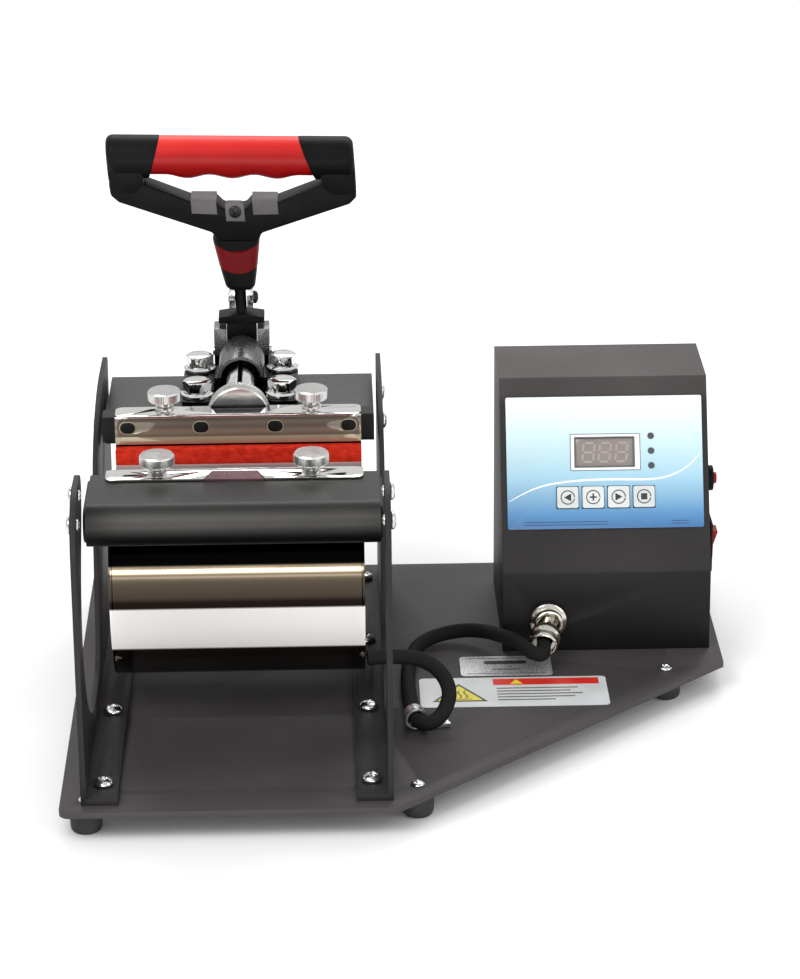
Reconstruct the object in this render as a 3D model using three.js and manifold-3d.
// Mug heat press: a clamping press that wraps a heated band round a mug, with its control console.
// Millimetres, +Z up. The operator stands at -Y, the console is at +X.
// The press and the console are built about their own centres and stand on one base plate.

import * as THREE from 'three';
import Module from 'manifold-3d';
import { mergeVertices } from 'three/addons/utils/BufferGeometryUtils.js';

const wasm = await Module();
wasm.setup();

// ---- driving dimensions ----
const BASE = { width: 330, depth: 301, sheet: 3, corner: 5, cutX: 171, cutY: 162 };
const FOOT = { radius: 8, height: 12 };
const BASE_TOP = FOOT.height + BASE.sheet;
const FRAME_SHIFT_Y = -12.75;
const PRESS_X = -81.3;
const CONSOLE_X = 106;
const GAP = 0.3;

const PLATE = { sheet: 2.5, outer: 73.5, front: -143, rear: 132, flange: 17.3, top: 150 };
const PLATE_IN = PLATE.outer - PLATE.sheet;
const JAW_TOP = 130;
const FRONT_JAW = { sheet: 1.6, half: 69.5, rear: -47, bend: -86, nose: 10.5, lip: -62 };
const MOVING_JAW = { half: 68.5, front: 33.5, rear: 45.3, height: 13.2, sheet: 2 };
const WRAP = {
  centre: -6.5, mouth: 39.7, straight: 116, belly: 55.5, bellyZ: 72, drop: 60, half: 62, band: 0.8,
};
const FLANGE = { sheet: 0.9, reach: 13.5, leg: 14, notch: 11, half: 62, corner: 4 };
const THUMB_FRONT = -52.9;
const THUMB_REAR = 39.9;
const SPONGE = { out: 1.1, thick: 6, top: 115 };
const HEATER = { out: 7.4, thick: 2, top: 104 };

const AXIS_Z = 124;
const BRIDGE = { half: 69, top: 118, front: 61, rear: 131, sheet: 2, drop: 12, notch: 15, notchDrop: 6 };
const CLAMP = {
  padZ: 6, boltX: 22, boltFront: 81, boltRear: 122, barrel: 12, barrelFront: 108, barrelRear: 152,
};
const PLUNGER = { radius: 8, front: 58, rear: 143, bore: 8.4, keyWidth: 1.8, keyFront: 81 };
const TONGUE = { half: 3.6, front: 150, rear: 176, low: 97, high: 119.5 };
const DISC = { radius: 16, front: 47.5, thick: 10 };
const STUD = { radius: 4, front: 36.2 };
const PIVOT = { y: 155, z: AXIS_Z };
const LUG = { inner: 8.4, outer: 14.7, front: 144, rear: 171, top: 139.5 };
const CRANK = { y: PIVOT.y + 14.24, z: PIVOT.z - 14.75, lowest: PIVOT.z - 20.5, pin: 2.5 };
const STEM = { foot: 160, neck: 187 };
const GRIP = { radius: 11.5, z: 231.2, capHalf: 65, redHalf: 39 };
const LEAN = -0.066;
const HEAD = { shift: 1, tip: 0.022 };

const CONSOLE = { half: 53.5, sheet: 1.5, front: 29, rear: 124, creaseZ: 43, topY: 74, topZ: 134 };
const PANEL = { half: 50.5, low: 22.5, high: 90.7, sheet: 0.6 };
const KEY = { size: 11, pitch: 13.1, first: -19.45, v: 38.6, travel: 0.6 };
const LEAD = { radius: 3.75 };
const CLIP = { at: 0.305, bore: 4.6, sheet: 1, width: 7, tail: 17 };

// ---- finishes ----
const finish = (color, roughness, metalness) => new THREE.MeshStandardMaterial({ color, roughness, metalness });
const POWDER = finish(0x2b2a2a, 0.55, 0.2);
const RUBBER = finish(0x141414, 0.85, 0);
const CHROME = finish(0xd8dadc, 0.12, 1);
const STEEL = finish(0xc9c4ba, 0.15, 1);
const SPONGE_RED = finish(0xb32a1e, 0.9, 0);
const HEATER_GREY = finish(0xb7a7a6, 0.4, 0.4);
const PLASTIC = finish(0x18191a, 0.5, 0);
const RED = finish(0xd8251c, 0.45, 0);
const OVERLAY = finish(0x9fd0e8, 0.35, 0);
const WINDOW = finish(0x8b8580, 0.2, 0);
const KEYS = finish(0xf1f3f3, 0.4, 0);
const BOARD = finish(0x1f6b3a, 0.6, 0);
const BRAID = finish(0x1b1a1b, 0.9, 0);

// ---- scene graph ----
const machine = new THREE.Group();
machine.position.set(0, FRAME_SHIFT_Y, 0);
const press = new THREE.Group();
press.position.set(PRESS_X, 0, BASE_TOP);
const console_ = new THREE.Group();
console_.position.set(CONSOLE_X, 0, BASE_TOP);
machine.add(press, console_);

function add(parent, name, geometry, material) {
  const mesh = new THREE.Mesh(geometry, material);
  mesh.name = name;
  parent.add(mesh);
  return mesh;
}

// ---- solid helpers ----
function toSolid(geometry) {
  const bare = geometry.clone();
  bare.deleteAttribute('normal');
  bare.deleteAttribute('uv');
  const merged = mergeVertices(bare, 1e-4);
  return new wasm.Manifold(new wasm.Mesh({
    numProp: 3,
    vertProperties: new Float32Array(merged.attributes.position.array),
    triVerts: new Uint32Array(merged.index.array),
  }));
}

function fromSolid(solid) {
  const mesh = solid.getMesh();
  const geometry = new THREE.BufferGeometry();
  geometry.setAttribute('position', new THREE.BufferAttribute(new Float32Array(mesh.vertProperties), 3));
  geometry.setIndex(new THREE.BufferAttribute(new Uint32Array(mesh.triVerts), 1));
  const flat = geometry.toNonIndexed();
  flat.computeVertexNormals();
  return flat;
}

function cut(body, ...tools) {
  return fromSolid(tools.reduce((solid, tool) => solid.subtract(toSolid(tool)), toSolid(body)));
}

function fuse(body, ...others) {
  return fromSolid(others.reduce((solid, other) => solid.add(toSolid(other)), toSolid(body)));
}

// A box between two corners.
function box(x0, x1, y0, y1, z0, z1) {
  const geometry = new THREE.BoxGeometry(x1 - x0, y1 - y0, z1 - z0);
  geometry.translate((x0 + x1) / 2, (y0 + y1) / 2, (z0 + z1) / 2);
  return geometry;
}

// A round bar from a to b along the named axis.
function bar(axis, radius, a, b, at, sides = 24) {
  const geometry = new THREE.CylinderGeometry(radius, radius, b - a, sides);
  const middle = (a + b) / 2;
  if (axis === 'x') geometry.rotateZ(Math.PI / 2).translate(middle, at[0], at[1]);
  if (axis === 'y') geometry.translate(at[0], middle, at[1]);
  if (axis === 'z') geometry.rotateX(Math.PI / 2).translate(at[0], at[1], middle);
  return geometry;
}

// A profile drawn in (y, z), carried along X from x0 to x1.
function alongX(shape, x0, x1, curveSegments = 10) {
  const geometry = new THREE.ExtrudeGeometry(shape, { depth: x1 - x0, bevelEnabled: false, curveSegments });
  geometry.rotateY(Math.PI / 2).rotateX(Math.PI / 2);
  return geometry.translate(x0, 0, 0);
}

// A profile drawn in (x, z), carried along Y from y0 to y1.
function alongY(shape, y0, y1, curveSegments = 10) {
  const geometry = new THREE.ExtrudeGeometry(shape, { depth: y1 - y0, bevelEnabled: false, curveSegments });
  return geometry.rotateX(Math.PI / 2).translate(0, y1, 0);
}

// A profile drawn in (x, y), carried up Z from z0 to z1.
function alongZ(shape, z0, z1, curveSegments = 10) {
  const geometry = new THREE.ExtrudeGeometry(shape, { depth: z1 - z0, bevelEnabled: false, curveSegments });
  return geometry.translate(0, 0, z0);
}

// A profile of [radius, height] pairs turned about Z.
function turned(profile, sides = 24) {
  const points = profile.map(([r, z]) => new THREE.Vector2(r, z));
  return new THREE.LatheGeometry(points, sides).rotateX(Math.PI / 2);
}

function polygon(points) {
  return new THREE.Shape(points.map(([a, b]) => new THREE.Vector2(a, b)));
}

// A rectangle with rounded corners.
function roundedRect(x0, x1, y0, y1, r) {
  const shape = new THREE.Shape();
  shape.moveTo(x0 + r, y0).lineTo(x1 - r, y0).absarc(x1 - r, y0 + r, r, -Math.PI / 2, 0);
  shape.lineTo(x1, y1 - r).absarc(x1 - r, y1 - r, r, 0, Math.PI / 2);
  shape.lineTo(x0 + r, y1).absarc(x0 + r, y1 - r, r, Math.PI / 2, Math.PI);
  shape.lineTo(x0, y0 + r).absarc(x0 + r, y0 + r, r, Math.PI, 1.5 * Math.PI);
  return shape;
}

// A pan-head screw: domed head on its seat at z = 0, shank below.
function panScrew(head, height, shank, length) {
  const dome = [[shank, 0], [head, 0], [head, height * 0.4], [head * 0.8, height * 0.85], [head * 0.4, height]];
  return turned([[0, -length], [shank, -length], ...dome, [0, height]], 16);
}

// ---- base plate and feet ----
const FEET = [['front_left', -153, -137], ['front_middle', 4, -126], ['right', 134.5, 4],
  ['rear_left', -150, 136], ['rear_right', 150, 136]];
const FLANGE_SCREWS = [-127, -45, 39, 123];

function basePlate() {
  const x = BASE.width / 2;
  const y = BASE.depth / 2;
  const r = BASE.corner;
  const shape = new THREE.Shape();
  shape.moveTo(-x + r, -y).lineTo(x - BASE.cutX, -y).lineTo(x, -y + BASE.cutY).lineTo(x, y - r);
  shape.absarc(x - r, y - r, r, 0, Math.PI / 2).lineTo(-x + r, y);
  shape.absarc(-x + r, y - r, r, Math.PI / 2, Math.PI).lineTo(-x, -y + r);
  shape.absarc(-x + r, -y + r, r, Math.PI, 1.5 * Math.PI);
  const round = (hx, hy, radius) => shape.holes.push(new THREE.Path().absarc(hx, hy, radius, 0, 2 * Math.PI));
  FEET.forEach(([, fx, fy]) => round(fx, fy, 2.4));
  for (const side of [-1, 1]) {
    FLANGE_SCREWS.forEach((fy) => round(PRESS_X + side * (PLATE.outer - 10), fy, 2.8));
  }
  return alongZ(shape, FOOT.height, BASE_TOP, 6);
}

add(machine, 'base_plate', basePlate(), POWDER);
for (const [place, x, y] of FEET) {
  const r = FOOT.radius;
  const profile = [[0, 0], [r - 1.5, 0], [r - 0.5, 1.5], [r, FOOT.height - 0.2], [2.2, FOOT.height - 0.2],
    [2.2, BASE_TOP - 0.4], [0, BASE_TOP - 0.4]];
  add(machine, `foot_${place}`, turned(profile, 20).translate(x, y, 0), RUBBER);
}

// ---- side plates: a low sill with a short front horn and a broad rear horn, open between them ----
function sideOutline() {
  const { front, rear, top } = PLATE;
  const shape = new THREE.Shape();
  shape.moveTo(front, 0.2).lineTo(front, 122);
  shape.bezierCurveTo(front, 142, front + 12, top, front + 26, top);
  shape.lineTo(-98, top - 1).bezierCurveTo(-90, top - 3, -88, 142, -91, 134);
  shape.bezierCurveTo(-98, 118, -121, 104, -121, 76);
  shape.bezierCurveTo(-121, 34, -84, 14, -50, 13).lineTo(-30, 13);
  shape.bezierCurveTo(-12, 13, -6, 24, -2, 42);
  shape.bezierCurveTo(6, 82, 16, 112, 44, 122);
  shape.bezierCurveTo(62, 130, 84, 132, 104, 131).lineTo(rear - 4, 130);
  shape.bezierCurveTo(rear + 1, 130, rear + 2, 124, rear, 116);
  shape.bezierCurveTo(rear - 2, 70, rear - 1, 40, rear - 1, 0.2);
  return shape;
}

for (const [side, place] of [[-1, 'left'], [1, 'right']]) {
  const outer = side * PLATE.outer;
  const inner = side * PLATE_IN;
  const plate = alongX(sideOutline(), Math.min(outer, inner), Math.max(outer, inner), 8);
  const reach = side * (PLATE.outer - PLATE.flange);
  const span = [Math.min(reach, inner), Math.max(reach, inner)];
  const foot = box(...span, PLATE.front, PLATE.rear - 1, 0.2, 3.2);
  const seats = FLANGE_SCREWS.map((y) => bar('z', 2.8, -1, 5, [side * (PLATE.outer - 10), y], 16));
  const jawHoles = [[-112, 144], [-130, 136.5]].map((p) => bar('x', 2.2, outer - 4, outer + 4, p, 12));
  const bridgeHoles = [[74, 112], [118, 112]].map((p) => bar('x', 2.2, outer - 4, outer + 4, p, 12));
  add(press, `side_plate_${place}`, cut(fuse(plate, foot), ...seats, ...jawHoles, ...bridgeHoles), POWDER);
  FLANGE_SCREWS.slice(0, 2).forEach((y, index) => {
    const screw = panScrew(4.8, 3.4, 2.4, 5.5).translate(side * (PLATE.outer - 10), y, 3.5);
    add(press, `flange_screw_${place}_${index + 1}`, screw, CHROME);
  });
}

// ---- front jaw: a rolled sheet channel with a round nose, closed by a cap at each end ----
function jawSection(inset) {
  const { rear, bend, nose, lip } = FRONT_JAW;
  const r = nose - inset;
  const z = JAW_TOP - nose;
  return { r, z, top: JAW_TOP - inset, low: z - r, rear: rear - 0.2, bend, lip };
}

function frontJaw() {
  const out = jawSection(0);
  const inn = jawSection(FRONT_JAW.sheet);
  const shape = new THREE.Shape();
  shape.moveTo(out.rear, out.top).lineTo(out.bend, out.top);
  shape.absarc(out.bend, out.z, out.r, Math.PI / 2, 1.5 * Math.PI, false);
  shape.lineTo(out.lip, out.low).lineTo(out.lip, inn.low).lineTo(inn.bend, inn.low);
  shape.absarc(inn.bend, inn.z, inn.r, 1.5 * Math.PI, Math.PI / 2, true);
  shape.lineTo(out.rear - FRONT_JAW.sheet, inn.top).lineTo(out.rear - FRONT_JAW.sheet, inn.top - 12);
  shape.lineTo(out.rear, inn.top - 12);
  const shell = alongX(shape, -FRONT_JAW.half, FRONT_JAW.half, 10);
  const taps = [-37, 37].map((x) => bar('z', 2.5, JAW_TOP - 4, JAW_TOP + 4, [x, THUMB_FRONT], 16));
  return cut(shell, ...taps);
}

function frontJawCap(side) {
  const sec = jawSection(FRONT_JAW.sheet + GAP);
  const shape = new THREE.Shape();
  shape.moveTo(sec.rear - 3, sec.top).lineTo(sec.bend, sec.top);
  shape.absarc(sec.bend, sec.z, sec.r, Math.PI / 2, 1.5 * Math.PI, false);
  shape.lineTo(sec.rear - 3, sec.low);
  return alongX(shape, side < 0 ? -PLATE_IN + 0.2 : 67.2, side < 0 ? -67.2 : PLATE_IN - 0.2, 8);
}

add(press, 'front_jaw_shell', frontJaw(), POWDER);
add(press, 'front_jaw_cap_left', frontJawCap(-1), POWDER);
add(press, 'front_jaw_cap_right', frontJawCap(1), POWDER);

// ---- bridge: a hat-section sheet between the rear horns that carries the toggle clamp ----
function bridge() {
  const { half, top, front, rear, sheet, drop, notch, notchDrop } = BRIDGE;
  const section = polygon([[front, top], [front, top - drop], [front + sheet, top - drop],
    [front + sheet, top - sheet], [rear - sheet, top - sheet], [rear - sheet, top - drop],
    [rear, top - drop], [rear, top]]);
  const sheetMetal = alongX(section, -half, half);
  const ends = [-1, 1].map((s) => box(s < 0 ? -half : half - sheet, s < 0 ? -half + sheet : half,
    front + 0.5, rear - 0.5, top - drop, top - 0.5));
  const slot = box(-notch, notch, front - 1, rear + 1, top - notchDrop, top + 1);
  const rearGap = box(-notch, notch, rear - sheet - 1, rear + 1, top - drop - 1, top + 1);
  const bolts = [];
  for (const x of [-CLAMP.boltX, CLAMP.boltX]) {
    for (const y of [CLAMP.boltFront, CLAMP.boltRear]) bolts.push(bar('z', 4.4, top - 4, top + 2, [x, y], 16));
  }
  return cut(fuse(sheetMetal, ...ends), slot, rearGap, ...bolts);
}

add(press, 'bridge', bridge(), POWDER);

// ---- toggle clamp body: four bolt pads, a saddle and a bored barrel with two pivot lugs behind it ----
function clampBody() {
  const pads = [];
  const z0 = BRIDGE.top + 0.3;
  const z1 = z0 + CLAMP.padZ;
  for (const s of [-1, 1]) {
    pads.push(alongZ(roundedRect(s < 0 ? -30 : 14, s < 0 ? -14 : 30, 71, 131, 4), z0, z1, 4));
    const web = polygon([[s * 14.5, z1], [s * 14.5, z0 - 4], [s * 9, z0 - 9], [s * 9, z0 + 1]]);
    pads.push(alongY(web, 94, 131));
  }
  const cradle = box(-14.8, 14.8, 110, 131, BRIDGE.top - 11, z1 - 0.5);
  const barrel = bar('y', CLAMP.barrel, CLAMP.barrelFront, CLAMP.barrelRear, [0, AXIS_Z], 32);
  const ear = polygon([[LUG.front, 110], [LUG.front, LUG.top], [PIVOT.y + 3, LUG.top], [PIVOT.y + 11, LUG.top - 5],
    [LUG.rear, 128], [LUG.rear, 110]]);
  const lugs = [-1, 1].map((s) => alongX(ear, s < 0 ? -LUG.outer : LUG.inner, s < 0 ? -LUG.inner : LUG.outer));
  const body = fuse(barrel, cradle, ...pads, ...lugs);
  const bore = bar('y', PLUNGER.bore, 60, 160, [0, AXIS_Z], 32);
  const mouth = bar('y', 10.3, 100, 116, [0, AXIS_Z], 32);
  const throat = box(-LUG.inner, LUG.inner, 144, 176, 98, 150);
  const crankRoom = box(-LUG.inner, LUG.inner, 132, 176, 98, AXIS_Z - 4);
  const shoulder = box(-LUG.inner, LUG.inner, 139, 145, 98, AXIS_Z);
  const pinHole = bar('x', 3.3, -20, 20, [PIVOT.y, PIVOT.z], 16);
  const bolts = [];
  for (const x of [-CLAMP.boltX, CLAMP.boltX]) {
    for (const y of [CLAMP.boltFront, CLAMP.boltRear]) bolts.push(bar('z', 4.4, z0 - 2, z1 + 2, [x, y], 16));
  }
  const tongueSlot = box(-TONGUE.half - 0.4, TONGUE.half + 0.4, 110, 154, 95, AXIS_Z - 4);
  return cut(body, bore, mouth, throat, crankRoom, shoulder, tongueSlot, pinHole, ...bolts);
}

add(press, 'clamp_body', clampBody(), CHROME);

function hexBolt() {
  const collar = turned([[0, 0], [8.6, 0], [8.6, 1.6], [7.2, 2.4], [7.2, 3], [0, 3]], 24);
  const hex = new THREE.CylinderGeometry(7.5, 7.5, 6, 6).rotateX(Math.PI / 2).rotateZ(Math.PI / 6);
  const cone = turned([[0, 2.5], [9, 2.5], [9, 7], [6.2, 8.5], [0, 8.5]], 24);
  const head = fromSolid(toSolid(hex.translate(0, 0, 5.5)).intersect(toSolid(cone)));
  const shank = bar('z', 4, -12, 1, [0, 0], 16);
  return fuse(collar, head, shank);
}

const BOLTS = [['front_left', -1, CLAMP.boltFront], ['front_right', 1, CLAMP.boltFront],
  ['rear_left', -1, CLAMP.boltRear], ['rear_right', 1, CLAMP.boltRear]];
for (const [place, side, y] of BOLTS) {
  const seat = BRIDGE.top + CLAMP.padZ + 0.6;
  add(press, `clamp_bolt_${place}`, hexBolt().translate(side * CLAMP.boltX, y, seat), CHROME);
}

// ---- plunger, pressure disc and moving jaw ----
function plunger() {
  const tube = bar('y', PLUNGER.radius, PLUNGER.front, PLUNGER.rear, [0, AXIS_Z], 32);
  const stud = bar('y', STUD.radius, STUD.front, PLUNGER.front + 1, [0, AXIS_Z], 16);
  const key = box(-PLUNGER.keyWidth / 2, PLUNGER.keyWidth / 2, PLUNGER.keyFront, 140, AXIS_Z + 6.4, AXIS_Z + 9);
  const { half, front, rear: back, low, high } = TONGUE;
  const tongue = fuse(box(-half, half, front, back, low, high), box(-half, half, 139, front + 1, 113, high));
  const slotHigh = CRANK.z + CRANK.pin + 0.6;
  const slotLow = CRANK.lowest - CRANK.pin - 0.6;
  const eye = box(-9, 9, CRANK.y - CRANK.pin - 0.9, CRANK.y + CRANK.pin + 0.9, slotLow, slotHigh);
  return fuse(cut(fuse(tube, stud), key), cut(tongue, eye));
}

function pressureDisc() {
  const rim = DISC.radius;
  const teeth = 40;
  const shape = new THREE.Shape();
  for (let i = 0; i < 2 * teeth; i += 1) {
    const angle = (i * Math.PI) / teeth;
    const radius = i % 2 ? rim : rim - 0.5;
    const point = [radius * Math.cos(angle), AXIS_Z + radius * Math.sin(angle)];
    if (i === 0) shape.moveTo(...point);
    else shape.lineTo(...point);
  }
  shape.holes.push(new THREE.Path().absarc(0, AXIS_Z, STUD.radius + 0.3, 0, 2 * Math.PI));
  return alongY(shape, DISC.front, DISC.front + DISC.thick, 8);
}

function movingJaw() {
  const { half, front, rear, height, sheet } = MOVING_JAW;
  const low = JAW_TOP - height;
  const section = polygon([[front, JAW_TOP], [front, low], [rear, low], [rear, low + sheet],
    [front + sheet, low + sheet], [front + sheet, JAW_TOP - sheet], [rear, JAW_TOP - sheet], [rear, JAW_TOP]]);
  const channel = alongX(section, -half, half);
  const boss = bar('y', 5.7, front + 1, rear, [0, AXIS_Z], 24);
  const stud = bar('y', STUD.radius + 0.25, front - 1, rear + 1, [0, AXIS_Z], 16);
  const taps = [-37, 37].map((x) => bar('z', 2.5, JAW_TOP - 4, JAW_TOP + 4, [x, THUMB_REAR], 16));
  return cut(fuse(channel, boss), stud, ...taps);
}

add(press, 'plunger', plunger(), CHROME);
add(press, 'pressure_disc', pressureDisc(), CHROME);
add(press, 'moving_jaw', movingJaw(), POWDER);

// ---- heated wrap: steel band, red sponge and heater mat hung as a U between the jaws ----
// One face of the U, from the rear lip down, round the belly and up to the front lip.
function wrapLine(offset, top) {
  const { centre, mouth, straight, belly, bellyZ, drop } = WRAP;
  const swell = [[mouth, straight], [mouth, straight - 13], [belly, bellyZ + 26], [belly, bellyZ]];
  const arm = new THREE.CubicBezierCurve(...swell.map(([u, z]) => new THREE.Vector2(u, z)));
  const side = [[mouth - offset, JAW_TOP]];
  for (let i = 0; i <= 10; i += 1) {
    const point = arm.getPoint(i / 10);
    const tangent = arm.getTangent(i / 10);
    side.push([point.x + tangent.y * offset, point.y - tangent.x * offset]);
  }
  const arc = [];
  for (let i = 1; i <= 12; i += 1) {
    const angle = (i * Math.PI) / 24;
    arc.push([(belly - offset) * Math.cos(angle), bellyZ - (drop - offset) * Math.sin(angle)]);
  }
  const kept = side.filter(([, z]) => z < top - 0.5);
  const [first] = kept;
  const before = side[side.indexOf(first) - 1] ?? first;
  const ratio = before === first ? 0 : (top - first[1]) / (before[1] - first[1]);
  const start = [first[0] + (before[0] - first[0]) * ratio, before === first ? first[1] : top];
  const half = [start, ...kept, ...arc];
  const rear = half.map(([u, z]) => [centre + u, z]);
  const front = half.slice(0, -1).map(([u, z]) => [centre - u, z]).reverse();
  return [...rear, ...front];
}

function wrapLayer(out, thick, top) {
  const outer = wrapLine(out, top);
  const inner = wrapLine(out + thick, top).reverse();
  return alongX(polygon([...outer, ...inner]), -WRAP.half, WRAP.half);
}

add(press, 'wrap_band', wrapLayer(0, WRAP.band, JAW_TOP - 0.2), STEEL);
add(press, 'wrap_sponge', wrapLayer(SPONGE.out, SPONGE.thick, SPONGE.top), SPONGE_RED);
add(press, 'wrap_heater', wrapLayer(HEATER.out, HEATER.thick, HEATER.top), HEATER_GREY);

// An angle strip: a flange lies on the jaw, a leg with four slots hangs down inside the band.
function wrapFlange(side) {
  const { sheet, reach, leg, notch, half, corner } = FLANGE;
  const face = WRAP.centre + side * (WRAP.mouth - WRAP.band - GAP);
  const legBack = face - side * sheet;
  const edge = face + side * reach;
  const z = JAW_TOP + 0.3;
  const flange = roundedRect(-half, half, Math.min(edge, legBack), Math.max(edge, legBack), corner);
  const top = alongZ(flange, z, z + sheet, 6);
  const hang = box(-half, half, Math.min(face, legBack), Math.max(face, legBack), z - leg, z + sheet / 2);
  const bite = polygon([[-notch, face + side * 2], [notch, face + side * 2], [notch + 4, edge + side],
    [-notch - 4, edge + side]]);
  const gap = alongZ(bite, z - 1, z + 2);
  const slots = [-55.7, -18.7, 18.7, 55.7].map((x) => {
    const slot = roundedRect(x - 4.4, x + 4.4, z - 8.8, z - 1.8, 3.4);
    return alongY(slot, face - 4, face + 4, 6);
  });
  const holes = [-37, 37].map((x) => bar('z', 2.6, z - 2, z + 4, [x, (face + edge) / 2 + side * 0.6], 16));
  return cut(fuse(top, hang), gap, ...slots, ...holes);
}

add(press, 'wrap_flange_front', wrapFlange(-1), STEEL);
add(press, 'wrap_flange_rear', wrapFlange(1), STEEL);

// ---- knurled thumb screws that hold the wrap's flanges ----
function thumbScrew() {
  return turned([[0, -7], [2.1, -7], [2.1, 0], [4.6, 0], [4.8, 1.6], [3.4, 2.4], [3.4, 3.4], [7, 4.6],
    [8.5, 5.6], [8.5, 9.6], [7.9, 10.4], [0, 10.4]], 24);
}

const THUMBS = [['front_left', -37, THUMB_FRONT], ['front_right', 37, THUMB_FRONT],
  ['rear_left', -37, THUMB_REAR], ['rear_right', 37, THUMB_REAR]];
for (const [place, x, y] of THUMBS) {
  add(press, `thumb_screw_${place}`, thumbScrew().translate(x, y, JAW_TOP + 1.8), CHROME);
}

// ---- lever: root block on the pivot pin with the crank pin below it, stem, yoke and grip above ----
// Leans everything above the stem's foot to the left. The yoke and grip also sit a little askew on the stem.
function lean(geometry, head = { shift: 0, tip: 0 }) {
  const position = geometry.attributes.position;
  for (let i = 0; i < position.count; i += 1) {
    const x = position.getX(i);
    const z = position.getZ(i);
    const rise = Math.max(0, z - STEM.foot);
    position.setXYZ(i, x + LEAN * rise + head.shift, position.getY(i), z - head.tip * x);
  }
  geometry.computeVertexNormals();
  return geometry;
}

function leverRoot() {
  const { y } = PIVOT;
  const cheek = alongX(polygon([[y - 7, 141], [y + 7, 141], [y + 7.5, 126], [CRANK.y + 5, CRANK.z + 2],
    [CRANK.y + 4.6, CRANK.z - 3.6], [CRANK.y - 0.8, CRANK.z - 5.4], [CRANK.y - 5.6, CRANK.z - 4.4],
    [y - 5, 118.5], [y - 7.5, 125]]), -7.9, 7.9);
  const hollow = box(-TONGUE.half - 0.5, TONGUE.half + 0.5, y - 20, y + 30, 90, 131);
  const block = polygon([[-12.2, 141.5], [0, 140.6], [12.2, 141.5], [12.2, 144.6], [3, 146], [-3, 146],
    [-12.2, 144.6]]);
  const crown = alongY(block, y - 7, y + 7);
  const rod = bar('z', 3, 145, STEM.foot + 14, [0, y], 16);
  const pinHole = bar('x', 3.3, -20, 20, [PIVOT.y, PIVOT.z], 16);
  const root = cut(fuse(cheek, crown, rod), hollow, pinHole);
  return lean(fuse(root, bar('x', CRANK.pin, -6, 6, [CRANK.y, CRANK.z], 12)));
}

function handleStem() {
  const y = PIVOT.y;
  const outline = new THREE.Shape();
  outline.moveTo(-8, STEM.foot).lineTo(8, STEM.foot).lineTo(9.5, STEM.foot + 9).lineTo(12.6, STEM.neck);
  outline.lineTo(-12.6, STEM.neck).lineTo(-9.5, STEM.foot + 9);
  const body = alongY(outline, y - 8.5, y + 8.5);
  const socket = bar('z', 4, STEM.foot - 2, STEM.foot + 16, [0, y], 16);
  return lean(cut(body, socket));
}

function handleYoke() {
  const y = PIVOT.y;
  const side = [[11, STEM.neck + 0.6], [13, 192], [60.7, 208.3], [64.6, 212], [65, 219], [47, 219], [44.7, 217.6],
    [22.8, 209.1], [9.6, 209.1], [5.8, 205]];
  const mirrored = side.map(([x, z]) => [-x, z]).reverse();
  return lean(alongY(polygon([...side, ...mirrored]), y - 9, y + 9), HEAD);
}

function gripCap(side) {
  const y = PIVOT.y;
  const x0 = side < 0 ? -GRIP.capHalf : GRIP.redHalf + GAP;
  const x1 = side < 0 ? -GRIP.redHalf - GAP : GRIP.capHalf;
  const sleeve = bar('x', GRIP.radius, x0, x1, [y, GRIP.z], 20);
  const foot = side < 0 ? [-GRIP.capHalf, -48] : [48, GRIP.capHalf];
  const post = box(...foot, y - 8.5, y + 8.5, 219 + GAP, GRIP.z);
  const core = bar('x', 5.3, Math.min(x0, x1) - 1, x1 + 1, [y, GRIP.z], 16);
  return lean(cut(fuse(sleeve, post), core.translate(-side * 2.5, 0, 0)), HEAD);
}

function grip() {
  const y = PIVOT.y;
  const profile = [[0, -62], [5, -62], [5, -GRIP.redHalf], [11, -GRIP.redHalf], [11.4, -28], [10.4, -20],
    [11.2, -11], [10.3, 0], [11.2, 11], [10.4, 20], [11.4, 28], [11, GRIP.redHalf], [5, GRIP.redHalf],
    [5, 62], [0, 62]];
  const body = turned(profile, 20).rotateY(Math.PI / 2).translate(0, y, GRIP.z);
  return lean(body, HEAD);
}

add(press, 'lever_root', leverRoot(), PLASTIC);
add(press, 'pivot_pin', bar('x', 3, -16, 16, [PIVOT.y, PIVOT.z], 16), CHROME);
add(press, 'handle_stem', handleStem(), PLASTIC);
add(press, 'handle_yoke', handleYoke(), PLASTIC);
add(press, 'grip_cap_left', gripCap(-1), PLASTIC);
add(press, 'grip_cap_right', gripCap(1), PLASTIC);
add(press, 'grip', grip(), RED);

// ---- console: a bent sheet cover over a base tray, with the keypad panel on its slope ----
const SLOPE = new THREE.Vector2(CONSOLE.topY - CONSOLE.front - 1, CONSOLE.topZ - CONSOLE.creaseZ);
const PANEL_TILT = Math.atan2(SLOPE.x, SLOPE.y);

function consoleOutline(inset) {
  const { front, rear, creaseZ, topY, topZ } = CONSOLE;
  return polygon([[front + inset, inset ? -1 : 0.3], [front + inset + 1, creaseZ],
    [topY + inset * 0.7, topZ - inset], [rear - inset, topZ - inset + 0.5], [rear - inset, inset ? -1 : 0.3]]);
}

const WINDOW_V = [54.6, 69.1];
const KEYS_U = [0, 1, 2, 3].map((i) => KEY.first + i * KEY.pitch);

// Places a shape built in panel axes (u across, v up the slope, w out of it) on the slope.
function onPanel(geometry) {
  geometry.rotateX(Math.PI / 2 - PANEL_TILT);
  return geometry.translate(0, CONSOLE.front + 1, CONSOLE.creaseZ);
}

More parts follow.
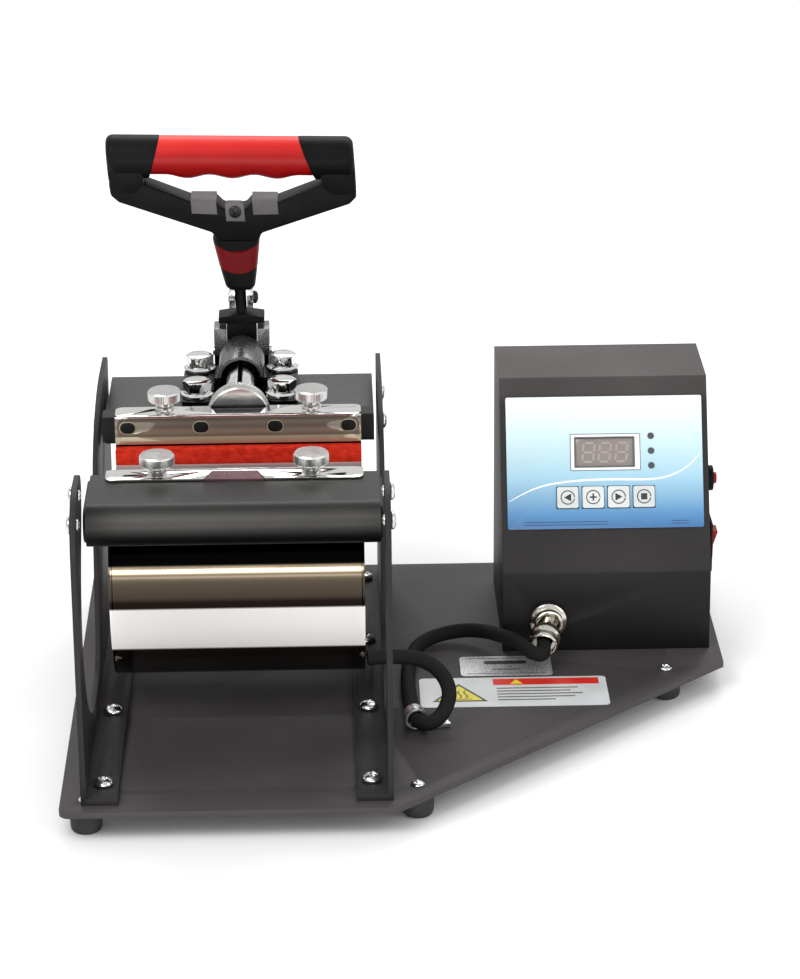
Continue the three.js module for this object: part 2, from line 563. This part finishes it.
function consoleCover() {
  const { half, sheet } = CONSOLE;
  const skin = alongX(consoleOutline(0), -half, half);
  const hollow = alongX(consoleOutline(sheet), -half + sheet, half - sheet);
  const cutouts = [onPanel(box(-16, 16, WINDOW_V[0] - 1, WINDOW_V[1] + 1, -4, 4))];
  KEYS_U.forEach((u) => cutouts.push(onPanel(bar('z', 3, -4, 4, [u, KEY.v], 12))));
  cutouts.push(bar('x', 5.2, half - 4, half + 4, [64, 81], 20));
  cutouts.push(box(half - 4, half + 4, 43, 57, 40, 62));
  cutouts.push(bar('y', 6.2, CONSOLE.front - 4, CONSOLE.front + 6, [-30.2, 18], 20));
  cutouts.push(box(-34, -6, CONSOLE.rear - 4, CONSOLE.rear + 4, 22, 42));
  return cut(skin, hollow, ...cutouts);
}

function panelOverlay() {
  const sheet = alongZ(roundedRect(-PANEL.half, PANEL.half, PANEL.low, PANEL.high, 1), 0.3, 0.3 + PANEL.sheet, 4);
  const reach = KEY.size / 2 + 0.3;
  const holes = KEYS_U.map((u) => box(u - reach, u + reach, KEY.v - reach, KEY.v + reach, -1, 2));
  const pane = box(-15.4, 15.4, WINDOW_V[0] - 0.4, WINDOW_V[1] + 0.4, -1, 2);
  return onPanel(cut(sheet, pane, ...holes));
}

add(console_, 'console_cover', consoleCover(), POWDER);
add(console_, 'console_tray', box(-51.6, 51.6, 31.4, 122, 0.3, 1.8), POWDER);
add(console_, 'panel_overlay', panelOverlay(), OVERLAY);
add(console_, 'display', onPanel(box(-15, 15, WINDOW_V[0], WINDOW_V[1], -7.6, 0.2)), WINDOW);
add(console_, 'control_board', onPanel(box(-40, 40, 28, 88, -9.6, -8)), BOARD);

KEYS_U.forEach((u, index) => {
  const half = KEY.size / 2;
  const cap = onPanel(alongZ(roundedRect(u - half, u + half, KEY.v - half, KEY.v + half, 1), 0.9, 1.9, 4));
  const stem = onPanel(bar('z', 2.4, -5, 1, [u, KEY.v], 12));
  add(console_, `key_${index + 1}`, fuse(cap, stem), KEYS);
});

// Reset button and rocker switch stand on the console's right side.
function resetButton() {
  return bar('x', 3, CONSOLE.half - 10, CONSOLE.half + 5.5, [64, 81], 20);
}

function resetCollar() {
  const ring = bar('x', 6.6, CONSOLE.half + 0.3, CONSOLE.half + 3.6, [64, 81], 24);
  const neck = bar('x', 4.9, CONSOLE.half - 8, CONSOLE.half + 1, [64, 81], 20);
  return cut(fuse(ring, neck), bar('x', 3.4, CONSOLE.half - 12, CONSOLE.half + 8, [64, 81], 20));
}

function rockerFrame() {
  const bezel = box(CONSOLE.half + 0.3, CONSOLE.half + 1.8, 41, 59, 38, 64);
  const well = box(CONSOLE.half - 12, CONSOLE.half + 1, 43.4, 56.6, 40.4, 61.6);
  return cut(fuse(bezel, well), box(CONSOLE.half - 10, CONSOLE.half + 4, 44.6, 55.4, 41.6, 60.4));
}

function rocker() {
  const x = CONSOLE.half;
  const outline = polygon([[x - 4, 43.2], [x + 2.4, 42.8], [x + 2.6, 51], [x + 5, 58.4], [x - 4, 59]]);
  return alongY(outline, 45, 55);
}

function powerInlet() {
  const y = CONSOLE.rear;
  const body = fuse(box(-33.6, -6.4, y - 16, y + 1, 22.4, 41.6), box(-38, -2, y + 0.3, y + 2.6, 20, 44));
  return cut(body, box(-32, -8, y - 13, y + 4, 24, 40));
}

add(console_, 'power_inlet', powerInlet(), PLASTIC);
add(console_, 'reset_collar', resetCollar(), PLASTIC);
add(console_, 'reset_button', resetButton(), RED);
add(console_, 'rocker_frame', rockerFrame(), PLASTIC);
add(console_, 'rocker', rocker(), RED);

// ---- heater lead: socket and plug on the console, the lead in its clip, to the wrap's lower corner ----
const SOCKET = { x: -30.2, z: 18 };

function turnedForward(profile, sides) {
  return turned(profile, sides).rotateX(Math.PI / 2);
}

function connectorSocket() {
  const face = CONSOLE.front;
  const profile = [[0, -8], [5.9, -8], [5.9, 0.4], [9.6, 0.4], [9.6, 3.4], [8.2, 4.2], [7.4, 4.4], [7.4, 8],
    [5.6, 8], [5.6, 2], [0, 2]];
  return turnedForward(profile, 28).translate(SOCKET.x, face, SOCKET.z);
}

const PLUG_END = new THREE.Vector3(CONSOLE_X + SOCKET.x - 3.6, 7, BASE_TOP + 12.6);
const PLUG_ROOT = new THREE.Vector3(CONSOLE_X + SOCKET.x, 25.7, BASE_TOP + SOCKET.z);

function connectorPlug() {
  const axis = PLUG_END.clone().sub(PLUG_ROOT);
  const length = axis.length();
  const profile = [[0, 0], [3, 0], [3, 9.8], [7.6, 10.2], [7.8, 13.4], [6.6, 14.2], [6.6, 16], [7.2, 17],
    [7.2, length - 0.6], [6.4, length], [5.9, length], [5.6, length - 2.6], [0, length - 2.6]];
  const points = profile.map(([r, y]) => new THREE.Vector2(r, y));
  const shell = new THREE.LatheGeometry(points, 24);
  const turn = new THREE.Quaternion().setFromUnitVectors(new THREE.Vector3(0, 1, 0), axis.normalize());
  return shell.applyQuaternion(turn).translate(PLUG_ROOT.x, PLUG_ROOT.y, PLUG_ROOT.z);
}

// Route of the lead in machine axes, heights above the base plate.
const LEAD_ROUTE = [[-18.4, -50, 32.4], [-13, -49.2, 32.5], [-4, -48, 32], [6, -47.5, 30.5], [14, -49, 27],
  [19.5, -53, 22], [21.5, -58.5, 16.5], [19.5, -64.5, 11.5], [15.5, -69.5, 8], [10.4, -71.4, 6.4],
  [6.4, -67.6, 5.9], [4.2, -60, 5.9], [3.2, -44, 4.4], [2.4, -22, 4.1], [3, 0, 4.1], [5.6, 18, 4.2],
  [12, 33, 4.6], [22, 41, 5.2], [33, 41, 7], [43, 33.5, 9.6], [50, 22.5, 12.2], [57.5, 13, 13.2],
  [62.6, 5.2, 12.4], [67, 0.4, 11.2], [71, 0.6, 10.7]];

function leadCurve() {
  const points = LEAD_ROUTE.map(([x, y, z]) => new THREE.Vector3(x, y, z + BASE_TOP));
  points.push(PLUG_END.clone().lerp(PLUG_ROOT, 0.05));
  return new THREE.CatmullRomCurve3(points, false, 'centripetal');
}

function heaterLead() {
  const section = new THREE.Shape();
  section.absarc(0, 0, LEAD.radius, 0, 2 * Math.PI);
  return new THREE.ExtrudeGeometry(section, { steps: 44, curveSegments: 5, extrudePath: leadCurve() });
}

// A P-clip: a strap ring round the lead with a flat tail on the base plate, drilled for its screw.
function cableClip() {
  const middle = leadCurve().getPointAt(CLIP.at);
  const heading = leadCurve().getTangentAt(CLIP.at);
  const half = CLIP.width / 2;
  const ring = bar('y', CLIP.bore + CLIP.sheet, -half, half, [0, middle.z], 24);
  const tail = box(3.8, CLIP.tail, -half, half, BASE_TOP + 0.3, BASE_TOP + 2.2);
  const bore = bar('y', CLIP.bore, -half - 1, half + 1, [0, middle.z], 24);
  const hole = bar('z', 2.3, BASE_TOP - 1, BASE_TOP + 4, [CLIP.tail - 4, 0], 16);
  const clip = cut(fuse(ring, tail), bore, hole);
  return clip.rotateZ(Math.atan2(heading.y, heading.x) - Math.PI / 2).translate(middle.x, middle.y, 0);
}

add(machine, 'cable_clip', cableClip(), CHROME);
add(machine, 'connector_socket', connectorSocket().translate(CONSOLE_X, 0, BASE_TOP), CHROME);
add(machine, 'connector_plug', connectorPlug(), CHROME);
add(machine, 'heater_lead', heaterLead(), BRAID);

export default machine;
